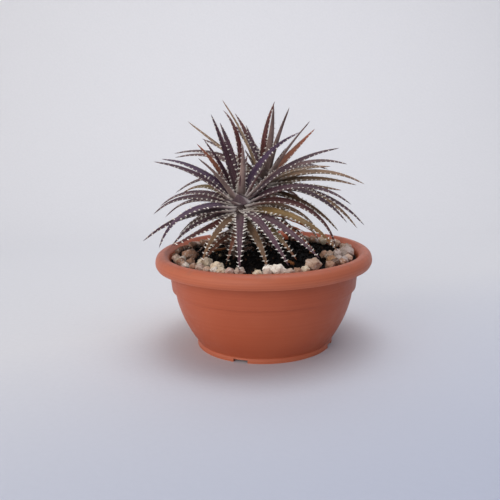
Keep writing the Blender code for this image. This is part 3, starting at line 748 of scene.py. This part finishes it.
# One row a leaf: heading, rise at the root, droop by the tip, in degrees; how late it bends; length and
# greatest width in millimetres; colour.
FRONT_LEAVES = (
    (142, 76, 20, 1.3, 90, 10.5, "plum"),
    (112, 66, 20, 1.3, 88, 12.0, "plum"),
    (140, 99, 68, 2.0, 94, 9.5, "maroon"),
    (160, 65, 12, 1.3, 68, 8.5, "plum"),
    (150, 56, 14, 1.3, 71, 10.0, "rust"),
    (-125, 45, 16, 1.3, 75, 9.5, "grey"),
    (-75, 76, 8, 1.3, 58, 8.5, "grey"),
    (-30, 47, 20, 1.3, 57, 8.0, "grey"),
    (25, 72, 54, 0.9, 94, 11.0, "violet"),
    (5, 43, 37, 1.3, 109, 12.0, "plum"),
    (163, 46, 44, 1.3, 91, 11.0, "violet"),
    (176, 41, 34, 1.3, 91, 11.0, "plum"),
    (142, 31, 70, 1.3, 83, 10.5, "olive"),
    (172, 18, 66, 1.6, 90, 11.0, "mauve"),
    (150, 14, 60, 1.3, 96, 10.0, "mauve"),
    (-165, 2, 42, 1.3, 98, 11.5, "plum"),
    (-160, 12, 84, 1.3, 95, 11.0, "violet"),
    (160, -7, 50, 1.3, 82, 9.0, "grey"),
    (150, -3, 50, 1.3, 81, 9.0, "grey"),
    (168, 6, 66, 1.3, 88, 9.5, "mauve"),
    (158, 24, 66, 1.3, 92, 9.5, "mauve"),
    (-172, -8, 44, 1.3, 74, 9.5, "mauve"),
    (140, -2, 50, 1.3, 84, 9.0, "grey"),
    (-150, -17, 4, 1.0, 72, 11.0, "maroon"),
    (-126, -13, 42, 1.0, 71, 9.5, "bronze"),
    (-91, -8, 54, 1.3, 88, 10.2, "mauve"),
    (-65, -24, 28, 1.0, 69, 10.2, "beige"),
    (-59, 0, 43, 0.5, 90, 11.0, "mauve"),
    (-46, -8, 40, 0.8, 80, 10.0, "olive"),
    (-38, -1, 38, 0.6, 96, 12.0, "mauve"),
    (-24, 2, 55, 1.3, 106, 12.5, "gold"),
    (-10, 18, 96, 1.2, 112, 11.5, "maroon"),
    (-5, 29, 72, 1.3, 112, 11.5, "plum"),
    (0, 4, 70, 1.2, 90, 10.5, "beige"),
    (6, 10, 74, 1.2, 88, 10.0, "bronze"),
    (-14, -8, 44, 1.0, 80, 10.0, "rust"),
    (75, 62, 10, 1.3, 50, 8.0, "grey"),
    (120, 8, 50, 1.3, 72, 9.5, "mauve"),
    (-5, -16, 4, 1.0, 62, 6.0, "straw"),
    (15, -8, 30, 1.3, 78, 6.0, "straw"),
    (-108, -30, 30, 1.0, 52, 6.5, "withered"),
)
FRONT_OLD_LEAVES = (
    (20, -20, 24, 1.0, 44, 8.0, "withered"),
    (100, -14, 34, 1.0, 56, 8.5, "withered"),
    (128, -22, 24, 1.0, 52, 8.0, "withered"),
    (156, -16, 34, 1.0, 56, 8.5, "withered"),
    (-178, -22, 22, 1.0, 40, 8.0, "withered"),
    (-146, -20, 28, 1.0, 48, 8.0, "withered"),
)
REAR_LEAVES = (
    (-160, 70, 18, 1.3, 90, 10.5, "beige"),
    (120, 57, 16, 1.3, 86, 10.0, "maroon"),
    (135, 67, 40, 1.3, 76, 9.5, "plum"),
    (120, 64, 16, 1.3, 63, 9.5, "plum"),
    (-50, 68, 14, 1.3, 80, 10.5, "grey"),
    (-71, 68, 2, 1.3, 80, 10.0, "grey"),
    (30, 98, 38, 1.0, 80, 10.0, "maroon"),
    (25, 42, 5, 1.3, 76, 11.0, "rust"),
    (-35, 53, 12, 1.3, 78, 10.0, "grey"),
    (-165, 40, 2, 1.3, 96, 10.5, "beige"),
    (154, 40, 22, 1.3, 81, 10.0, "grey"),
    (160, 37, 52, 1.3, 106, 11.0, "grey"),
    (168, 36, 52, 1.3, 99, 10.5, "grey"),
    (170, 17, 57, 1.3, 97, 10.5, "grey"),
    (5, 0, 14, 1.3, 78, 11.0, "olive"),
    (-10, 11, 30, 1.3, 92, 11.0, "beige"),
    (-8, 20, 52, 1.3, 103, 11.5, "beige"),
    (5, 31, 52, 1.3, 89, 10.5, "grey"),
    (-38, 24, 26, 1.3, 78, 10.5, "beige"),
    (-12, -14, 40, 1.3, 86, 10.0, "bronze"),
    (-15, -1, 51, 1.4, 111, 10.5, "mauve"),
    (-22, 0, 55, 1.3, 107, 10.5, "bronze"),
    (-30, 2, 55, 1.3, 98, 10.0, "plum"),
    (80, 55, 44, 1.3, 78, 10.5, "plum"),
    (100, 46, 46, 1.3, 80, 11.0, "violet"),
    (32, 26, 52, 1.3, 84, 11.0, "mauve"),
    (62, 22, 54, 1.3, 94, 11.0, "plum"),
    (92, 18, 54, 1.3, 92, 11.0, "mauve"),
    (126, 22, 56, 1.3, 92, 11.0, "violet"),
    (18, 2, 40, 1.3, 70, 10.5, "olive"),
    (48, -4, 54, 1.3, 80, 10.5, "mauve"),
    (78, -6, 54, 1.3, 78, 10.5, "beige"),
    (108, -4, 54, 1.3, 78, 10.5, "mauve"),
    (140, -4, 56, 1.3, 80, 10.5, "gold"),
    (60, -30, 34, 1.3, 66, 9.5, "beige"),
    (100, -30, 34, 1.3, 66, 9.5, "withered"),
)
REAR_OLD_LEAVES = (
    (-12, -24, 24, 1.0, 52, 8.0, "withered"),
    (18, -18, 32, 1.0, 58, 8.5, "withered"),
    (46, -26, 22, 1.0, 52, 8.0, "withered"),
    (76, -20, 34, 1.0, 56, 8.5, "withered"),
    (104, -28, 26, 1.0, 50, 8.0, "withered"),
    (134, -18, 34, 1.0, 58, 8.5, "withered"),
    (164, -25, 24, 1.0, 52, 8.0, "withered"),
)


def pointed_tube(sides, steps, closed=True):
    """A pattern along Z: a ring that runs by steps, each a length and a narrowing, to a point."""
    bpy.ops.object.select_all(action="DESELECT")
    bpy.ops.mesh.primitive_circle_add(vertices=sides, radius=1.0)
    tube = bpy.context.object
    bpy.ops.object.mode_set(mode="EDIT")
    if closed:
        bpy.ops.mesh.edge_face_add()
    bpy.ops.mesh.select_mode(type="EDGE")
    for length, narrower in steps:
        bpy.ops.mesh.extrude_region_move(TRANSFORM_OT_translate={"value": (0.0, 0.0, length)})
        bpy.ops.transform.resize(value=(narrower, narrower, 1.0))
    bpy.ops.mesh.merge(type="CENTER")
    bpy.ops.mesh.select_all(action="SELECT")
    bpy.ops.mesh.normals_make_consistent(inside=False)
    bpy.ops.object.mode_set(mode="OBJECT")
    return take_pattern(tube)


# The blade's pattern is a straight tube of one length, which each leaf bends to its own course. The
# spine's is a flattened cone, turned to run from its base at 0 to its point at 1 along X.
blade_points, blade_faces = pointed_tube(BLADE_SIDES, [(1.0 / BLADE_STATIONS, 1.0)] * BLADE_STATIONS)
spine_points, spine_faces = pointed_tube(SPINE_SIDES, SPINE_STEPS, closed=False)
spine_points = spine_points[:, (2, 1, 0)] * (1.0, 1.0, -1.0)


def half_width(along, width):
    """Half the leaf's width: nearly even at first, then running out to a point."""
    base = ROOT_WIDTH + (1.0 - ROOT_WIDTH) * np.minimum(1.0, along / FULL_WIDTH_AT)
    return width / 2 * base * np.maximum(0.0, 1.0 - along**TAPER_START) ** TAPER_END


def leaf_frames(crown, reach, heading, rise, droop, bend, length, along, sway):
    """Places on a leaf's centre line at shares of its length, with side, upward and forward directions."""
    turn = math.radians(heading)
    flatness = max(0.0, (UPRIGHT - rise) / (UPRIGHT - HANGING))
    steps = np.linspace(0.0, 1.0, COURSE_STEPS + 1)
    middles = (steps[1:] + steps[:-1]) / 2
    slopes = np.radians(rise - droop * middles**bend)
    run = np.concatenate([[0.0], np.cumsum(np.cos(slopes))]) * length / COURSE_STEPS
    climb = np.concatenate([[0.0], np.cumsum(np.sin(slopes))]) * length / COURSE_STEPS
    out = reach * flatness**0.5 + np.interp(along, steps, run)
    lift = np.interp(along, steps, climb) - LEAF_DROP * flatness**2.5
    aside = sway * np.sin(math.pi * SWAY_BENDS * along) * along
    outward = np.array([math.cos(turn), math.sin(turn), 0.0])
    side = np.array([-math.sin(turn), math.cos(turn), 0.0])
    up = np.array([0.0, 0.0, 1.0])
    place = np.array(crown) + out[:, None] * outward + lift[:, None] * up + aside[:, None] * side
    slope = np.radians(rise - droop * along**bend)[:, None]
    normal = np.cos(slope) * up - np.sin(slope) * outward
    forward = np.cos(slope) * outward + np.sin(slope) * up
    roll = math.radians(LEAF_ROLL) * math.cos(turn) * np.minimum(1.0, along / ROLL_START)[:, None]
    cos, sin = np.cos(roll), np.sin(roll)
    return place, side * cos + normal * sin, normal * cos - side * sin, forward


def toward(tint, colour, share):
    """Each point's tint, moved to a colour by its share."""
    return tint + (np.array(linear(colour)) - tint) * share[:, None]


def blade_tint(colour, length, old):
    """A blade's tint by point: its faces, its tip, the scurf and painted shade at its root, and its pale
    edges.
    """
    across, upper, along = blade_points.T
    above, below, tip = LEAF_COLOURS[colour]
    tint = toward(np.array(linear(below)), above, np.clip(0.5 + upper * 3.0, 0.0, 1.0))
    tint = toward(tint, tip, np.clip((along - TIP_START) / (1.0 - TIP_START), 0.0, 1.0) * TIP_SHARE)
    at_root = np.exp(-((along * length / SCURF_REACH) ** 2))
    tint = toward(tint, SCURF, at_root * (OLD_SCURF_SHARE if old else SCURF_SHARE))
    # The middle of each root is darkened: painted shade where the leaf bases overlap.
    tint = tint * (1.0 - PAINTED_ROOT_SHADE * at_root * (1.0 - across**2))[:, None]
    edge = (np.abs(across) - EDGE_START + ROOT_EDGE_WIDENING * at_root) / EDGE_SOFTNESS
    edge = np.clip(edge, 0.0, 1.0) * (EDGE_SHARE + ROOT_EDGE_SHARE * at_root) * (1.0 - along**2)
    return toward(tint, MARGIN, edge)


def add_spines(copies, course, width, sway, shortness, rng):
    """Adds a leaf's spines, one row along each margin, to the copies that make a head."""
    spined = SPINES_END - SPINES_START
    pairs = max(3, round(spined * course[-1] / SPINE_PITCH))
    along, lengthwise, flatwise = [spine_points[:, axis:axis + 1] for axis in range(3)]
    for sign in (-1, 1):
        scatter = rng.uniform(-SPINE_SCATTER, SPINE_SCATTER, pairs)
        at = SPINES_START + spined * (np.arange(pairs) + 0.5 + scatter) / pairs
        root, side, normal, forward = leaf_frames(*course, at, sway)
        margin = half_width(at, width)
        for number in range(pairs):
            shrink = (1.0 - SPINE_SHRINK * at[number]) * rng.uniform(*SPINE_SIZES) * shortness
            size = SPINE_LENGTH * shrink
            outward = sign * side[number] + rng.uniform(*SPINE_RAISES) * normal[number]
            back = rng.uniform() < HOOKED_BACK
            hook = -rng.uniform(*BACKWARD_HOOKS) if back else rng.uniform(*FORWARD_HOOKS)
            reach = (along * (1.0 + SPINE_ROOTED) - SPINE_ROOTED) * size
            bent = lengthwise * SPINE_HALF_BASE * shrink + hook * size * np.maximum(along, 0.0) ** 2
            thick = flatwise * SPINE_HALF_THICKNESS * shrink - SPINE_SUNK
            start = root[number] + side[number] * sign * (margin[number] - SPINE_SUNK)
            made = start + outward * reach + forward[number] * bent + normal[number] * thick
            pale = rng.uniform(*SPINE_TONES)
            copies.append((made, spine_faces, 1, (pale, pale, pale, 1.0), (0.0, 0.0, 0.0)))


def add_leaf(copies, crown, reach, row, rng, spined=True):
    """Adds one leaf, as its blade and its spines, to the copies that make a head."""
    heading, rise, droop, bend, length, width, colour = row
    length, width = length / 1000, width / 1000
    old = colour in ("withered", "straw")
    course = (crown, reach, heading, rise, droop, bend, length)
    sway = rng.uniform(-LEAF_SWAY, LEAF_SWAY)
    across, upper, along = blade_points.T
    half = half_width(along, width) * (1.0 + SHEATH_WIDTH * np.exp(-((along * length / SHEATH_LENGTH) ** 2)))
    thick = np.minimum(LEAF_THINNEST + LEAF_KEEL * 2 * half * (1.0 - along), LEAF_THICKEST * half)
    thick = thick * (1.0 if spined and not old else THIN_BELLY)
    channel = LEAF_CHANNEL * (OLD_CHANNEL if old else 1.0) * 2 * half * (1.0 - across**2)
    belly = thick * np.maximum(0.0, 1.0 - across**2) ** LEAF_BELLY
    lift = -channel - np.where(upper < -1e-6, belly, 0.0)
    if old:
        lift += OLD_WAVE_HEIGHT * np.sin(along * OLD_WAVES + heading) * np.abs(across)
    place, side, normal, _ = leaf_frames(*course, along, sway)
    points = place + side * (across * half)[:, None] + normal * lift[:, None]
    tint = np.clip(blade_tint(colour, length, old) * rng.uniform(*LEAF_TONES), 0.0, 1.0)
    tint[:, 3] = 1.0
    # Each leaf takes its own part of the patterns, which run along it.
    grain = np.stack([along * length, across * half, np.full_like(along, rng.uniform(0.0, 9.0))], 1)
    copies.append((points, blade_faces, 0, tint, grain))
    if spined:
        shortness = OLD_SPINES if old else np.interp(rise, SPINE_RISES, (1.0, STEEP_SPINES))
        add_spines(copies, course, width, sway, shortness, rng)


# Rows like those above, for what the tables leave out: young leaves that close a rosette's middle, short
# ones without spines at its heart, a broad one low in the front crown, and the scales that clothe a stem.
GOLDEN_TURN = 137.5
YOUNG_LEAVES = [
    (number * GOLDEN_TURN, 86 - 6 * number, 6, 1.3, 18 + 4 * number, 6.0 + 0.6 * number, colour)
    for number, colour in enumerate(("mauve", "grey", "plum") * 2)
]
HEART_LEAVES = [
    (number * GOLDEN_TURN - 96, 52 - 5 * number, 30, 1.3, 15 + number, 13.0, ("grey", "mauve")[number % 2])
    for number in range(7)
]
SHORT_LEAF = (-98, 50, 0, 1.3, 12.0, 18.0, "violet")
SHORT_LEAF_PLACE = (0.0005, 0.0, -0.0018)
SHORT_LEAF_REACH = 0.0125
STEM_SCALES = [(number * GOLDEN_TURN, 30, 34, 1.0, 15, 8.5, "withered") for number in range(24)]
SCALES_FROM = 0.100
SCALES_BELOW_CROWN = 0.018

# The stem: a rod that leans to the crown and swells under it, given by its radius at heights from it.
STEM_SIDES = 20
STEM_RINGS = 24
STEM_RADIUS = 0.0048
STEM_FOOT = 0.088
HEART_TOP = 0.0065
STEM_HEIGHTS = (-0.060, -0.040, -0.022, -0.007, 0.001, 0.005, HEART_TOP)
STEM_RADII = (0.0048, 0.0056, 0.0082, 0.0080, 0.0062, 0.0034, 0.0002)
STEM_RIPPLE = 0.06
RIPPLE_PITCH = 1900.0
LEAN_START = 0.096
# How far under the crown the stem is painted darker: painted shade in the recess among the leaf bases.
DARKER_FROM = 0.03

# One row a head: foot of its stem as X and Y, crown and rows of the live leaves, and of the old ones.
HEADS = {
    "front_head": (
        (-0.0275, -0.012), (-0.022, -0.015, 0.151), FRONT_LEAVES, (-0.0254, -0.0131, 0.135), FRONT_OLD_LEAVES,
    ),
    "rear_head": (
        (0.004, 0.033), (0.003, 0.030, 0.168), REAR_LEAVES, (0.0036, 0.0318, 0.141), REAR_OLD_LEAVES,
    ),
}

# Leaf skin, waxy and leathery: satin, with fine lengthwise lines of grey scurf between the veins.
leaf_skin, tree, shader = new_material(
    "succulent leaf skin", IOR=1.42, Specular_IOR_Level=0.38, Sheen_Weight=0.05
)
own_tint = add_node(tree, "Attribute", {}, attribute_name="tint").outputs["Color"]
grain_place = add_node(tree, "Attribute", {}, attribute_name="grain").outputs["Vector"]
long_place = add_node(tree, "Mapping", {"Vector": grain_place, "Scale": (0.045, 1.0, 1.0)}).outputs[0]
lengthwise = noise(tree, long_place, 1.1, 2.0)
lined = blend(tree, spread(tree, lengthwise, 0.46, 0.66, to_high=0.17), own_tint, "#a38f86")
blotch_place = add_node(tree, "Mapping", {"Vector": grain_place, "Scale": (0.5, 1.0, 1.0)}).outputs[0]
blotches = noise(tree, blotch_place, 6.0, 4.0)
blotch_shade = spread(tree, blotches, 0.3, 0.7, 0.62, 1.26)
blotched = add_node(tree, "VectorMath", {0: lined, "Scale": blotch_shade}, operation="SCALE").outputs[0]
fleck_share = spread(tree, noise(tree, grain_place, 0.7, 1.0), 0.62, 0.74, to_high=0.20)
flecked = blend(tree, fleck_share, blotched, "#cdbfb6")
gloss = spread(tree, blotches, 0.0, 1.0, 0.46, 0.64)
tree.links.new(flecked, shader.inputs["Base Color"])
tree.links.new(gloss, shader.inputs["Roughness"])
tree.links.new(bumped(tree, lengthwise, 0.45, 0.0003), shader.inputs["Normal"])

# Spines, horny: cream and smooth, each a little lighter or darker than the next.
horn, tree, shader = new_material("horny spine", Roughness=0.42, IOR=1.5)
own_tint = add_node(tree, "Attribute", {}, attribute_name="tint").outputs["Color"]
place = add_node(tree, "TexCoord", {}).outputs["Object"]
creamy = blend(tree, noise(tree, place, 2.0, 2.0), "#f7f2e8", "#dacfba")
toned = add_node(tree, "VectorMath", {0: creamy, 1: own_tint}, operation="MULTIPLY").outputs[0]
tree.links.new(toned, shader.inputs["Base Color"])

rod_points, rod_faces = pointed_tube(STEM_SIDES, [(1.0 / STEM_RINGS, 1.0)] * STEM_RINGS)
for name, (stem, crown, live_rows, lower, old_rows) in HEADS.items():
    rng = np.random.default_rng(len(live_rows))
    copies = []
    for row in live_rows:
        add_leaf(copies, crown, LIVE_REACH, row, rng)
    for row in old_rows:
        add_leaf(copies, lower, OLD_REACH, row, rng)
    for row in YOUNG_LEAVES:
        add_leaf(copies, crown, LIVE_REACH, row, rng)
    if name == "front_head":
        place = np.add(crown, SHORT_LEAF_PLACE)
        add_leaf(copies, place, SHORT_LEAF_REACH, SHORT_LEAF, rng, spined=False)
    for row in HEART_LEAVES:
        add_leaf(copies, crown, LIVE_REACH, row, rng, spined=False)
    lowest = np.array([*stem, SCALES_FROM])
    highest = np.array([crown[0], crown[1], crown[2] - SCALES_BELOW_CROWN])
    for number, row in enumerate(STEM_SCALES):
        place = lowest + (highest - lowest) * (number + 0.5) / len(STEM_SCALES)
        add_leaf(copies, place, STEM_RADIUS, row, rng, spined=False)

    level = STEM_FOOT + (crown[2] + HEART_TOP - STEM_FOOT) * rod_points[:, 2]
    swell = np.interp(level - crown[2], STEM_HEIGHTS, STEM_RADII)
    swell = swell * (1.0 + STEM_RIPPLE * np.sin(level * RIPPLE_PITCH + rod_points[:, 0] * 4.0))
    lean = np.clip((level - LEAN_START) / (crown[2] - LEAN_START), 0.0, 1.0)[:, None]
    middle = np.array(stem) + np.subtract(crown[:2], stem) * lean
    stem_points = np.column_stack([middle + rod_points[:, :2] * swell[:, None], level])
    # The stem turns darker towards the crown: painted shade in the recess between the leaf bases.
    painted_crown_shade = np.clip((level - crown[2] + DARKER_FROM) / DARKER_FROM, 0.0, 1.0)
    stem_tint = toward(np.array(linear("#4a382e")), "#382829", painted_crown_shade)
    copies.append((stem_points, rod_faces, 0, stem_tint, stem_points))
    head = gather(name + "_rosette", copies)
    head.data.materials.append(leaf_skin)
    head.data.materials.append(horn)
    finish_piece(head, name + "_rosette", None, [name])


# The stage: a seamless pale sheet that rises into a wall behind, soft daylight from a window at the left and
# from the room in front, two soft lights on the wall, and the camera where the photographer stood.
FLOOR_FRONT = -1.6
FLOOR_BACK = 1.1
FLOOR_SIDE = 2.6
WALL_TOP = 2.2
FOLD_RADIUS = 0.6
FOLD_STEPS = 24
BACKWARD = (-0.5, 1.0, 0.0)
WORLD_COLOUR = "#d0d8f2"
WORLD_STRENGTH = 0.35

bpy.ops.object.select_all(action="DESELECT")
bpy.ops.mesh.primitive_plane_add(size=1.0, location=(0.0, (FLOOR_FRONT + FLOOR_BACK) / 2, 0.0))
sheet = bpy.context.object
sheet.scale = (2 * FLOOR_SIDE, FLOOR_BACK - FLOOR_FRONT, 1.0)
bpy.ops.object.transform_apply(location=True, scale=True)
for edge in sheet.data.edges:
    edge.select = all(sheet.data.vertices[corner].co.y > 0 for corner in edge.vertices)
for face in sheet.data.polygons:
    face.select = False
for vertex in sheet.data.vertices:
    vertex.select = vertex.co.y > 0
bpy.ops.object.mode_set(mode="EDIT")
bpy.ops.mesh.select_mode(type="EDGE")
bpy.ops.mesh.extrude_region_move(TRANSFORM_OT_translate={"value": (0.0, 0.0, WALL_TOP)})
bpy.ops.object.mode_set(mode="OBJECT")
apply_modifier(sheet, "BEVEL", width=FOLD_RADIUS, segments=FOLD_STEPS, limit_method="ANGLE")
bpy.ops.object.shade_smooth()
sheet.name = "backdrop"

# Card, matt: nearly white, painted a little darker and cooler to the front and the right: painted shade where
# less lamp light reaches.
card, tree, shader = new_material("matt card", Roughness=0.9, Specular_IOR_Level=0.25)
place = add_node(tree, "TexCoord", {}).outputs["Object"]
weave = noise(tree, place, 5.0, 3.0)
paper = blend(tree, weave, "#d7d6d5", "#dddcdb")
to_back = add_node(tree, "VectorMath", {0: place, 1: BACKWARD}, operation="DOT_PRODUCT").outputs["Value"]
painted_falloff = blend(tree, spread(tree, to_back, 0.10, -0.40), paper, "#bfc4d1")
tree.links.new(painted_falloff, shader.inputs["Base Color"])
tree.links.new(bumped(tree, weave, 0.15, 0.001), shader.inputs["Normal"])
sheet.data.materials.append(card)

daylight = bpy.data.worlds.new("soft daylight")
daylight.use_nodes = True
sky = daylight.node_tree.nodes["Background"]
sky.inputs["Color"].default_value = linear(WORLD_COLOUR)
sky.inputs["Strength"].default_value = WORLD_STRENGTH
bpy.context.scene.world = daylight


def add_light(name, location, target, size, power, colour):
    """A soft square light that points at a place."""
    lamp = bpy.data.lights.new(name, "AREA")
    lamp.size = size
    lamp.energy = power
    lamp.color = linear(colour)[:3]
    holder = bpy.data.objects.new(name, lamp)
    bpy.context.scene.collection.objects.link(holder)
    holder.location = location
    holder.rotation_euler = (Vector(target) - Vector(location)).to_track_quat("-Z", "Y").to_euler()


add_light("window", (-2.0, -0.9, 0.75), (0.0, 0.0, 0.05), 2.2, 17.0, "#fff8ee")
add_light("room", (-0.8, -1.8, 0.45), (0.0, 0.0, 0.10), 1.8, 21.0, "#fffaf6")
add_light("wall light", (0.35, 0.15, 1.75), (0.25, 1.1, 0.40), 1.4, 14.3, "#fdfcff")
add_light("wall light left", (-0.2, 0.25, 1.7), (0.0, 1.1, 0.35), 1.0, 5.0, "#e8f0ff")

CAMERA_PLACE = (-0.0105, -0.6484, 0.2376)
CAMERA_PITCH = 0.217
CAMERA_ROLL = -0.0225
CAMERA_FOCUS_PIXELS = 640.6
PHOTO_PIXELS = 500
SENSOR_WIDTH = 36.0
camera = bpy.data.cameras.new("camera")
camera.sensor_width = SENSOR_WIDTH
camera.lens = SENSOR_WIDTH * CAMERA_FOCUS_PIXELS / PHOTO_PIXELS
camera.clip_end = 20.0
viewpoint = bpy.data.objects.new("camera", camera)
bpy.context.scene.collection.objects.link(viewpoint)
level_view = Matrix.Rotation(math.pi / 2 - CAMERA_PITCH, 4, "X")
viewpoint.matrix_world = Matrix.Translation(CAMERA_PLACE) @ level_view @ Matrix.Rotation(CAMERA_ROLL, 4, "Z")
bpy.context.scene.camera = viewpoint
bpy.context.scene.view_settings.view_transform = "Standard"
